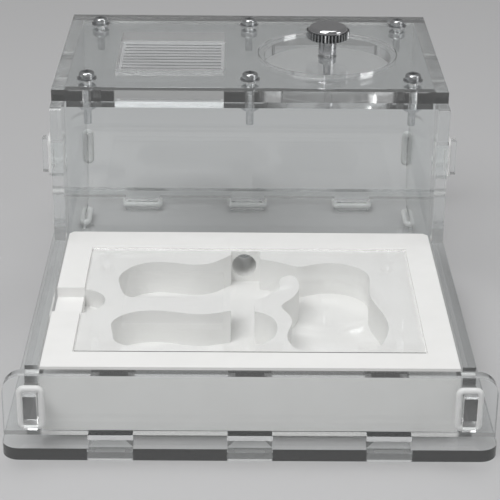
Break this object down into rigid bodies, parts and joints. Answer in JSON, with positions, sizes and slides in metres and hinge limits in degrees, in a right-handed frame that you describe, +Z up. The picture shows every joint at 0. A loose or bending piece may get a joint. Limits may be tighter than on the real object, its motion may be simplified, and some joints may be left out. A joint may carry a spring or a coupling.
{
  "type": "ant nest with foraging box",
  "caption": "Clear acrylic ant nest: low tray with a carved white nest block under a clear cover, and a taller foraging box with a vented lid and a feed hatch.",
  "frame": {"origin": "centre of the base plate's footprint, at the level of the tab tips it stands on", "axes": "+Z up, -Y towards the low nest tray at the front, +X to the right seen from the front"},
  "size_m": [0.11, 0.152, 0.0685],
  "materials": {
    "acrylic_base": "clear cast acrylic, laser-cut edges",
    "acrylic_panel": "clear cast acrylic, laser-cut edges",
    "acrylic_lid": "clear cast acrylic, laser-cut edges",
    "acrylic_hatch": "clear cast acrylic, laser-cut edges",
    "acrylic_cover": "clear cast acrylic",
    "silicone": "translucent white, satin",
    "vent_metal": "fine slats, bright satin",
    "screw_steel": "plain stainless",
    "washer_steel": "plain washer",
    "knob_chrome": "knurled, nickel plated",
    "nest_white": "matte, milled"
  },
  "bodies": {
    "frame": {"base_plate": "acrylic_base", "front_panel": "acrylic_panel", "back_panel": "acrylic_panel", "side_panel_left": "acrylic_panel", "side_panel_right": "acrylic_panel", "box_front_panel": "acrylic_panel", "rings_front": "silicone", "rings_wall": "silicone", "rings_back": "silicone", "rings_base": "silicone"},
    "lid": {"lid_top_plate": "acrylic_lid", "lid_lower_plate": "acrylic_lid", "vent_insert": "vent_metal", "lid_screws": "screw_steel", "lid_washers": "washer_steel", "lid_nuts": "screw_steel"},
    "hatch": {"feed_hatch": "acrylic_hatch", "feed_knob": "knob_chrome", "hatch_washer": "washer_steel", "hatch_nut": "screw_steel"},
    "nest": {"nest_block": "nest_white"},
    "cover": {"nest_cover": "acrylic_cover"}
  },
  "joints": [
    {"name": "lid_lift", "type": "slide", "parent": "frame", "child": "lid", "axis": [0, 0, 1], "range_m": [0, 0.04]},
    {"name": "hatch_lift", "type": "slide", "parent": "lid", "child": "hatch", "axis": [0, 0, 1], "range_m": [0, 0.03]},
    {"name": "nest_lift", "type": "slide", "parent": "frame", "child": "nest", "axis": [0, 0, 1], "range_m": [0, 0.03]},
    {"name": "cover_lift", "type": "slide", "parent": "nest", "child": "cover", "axis": [0, 0, 1], "range_m": [0, 0.015]}
  ]
}
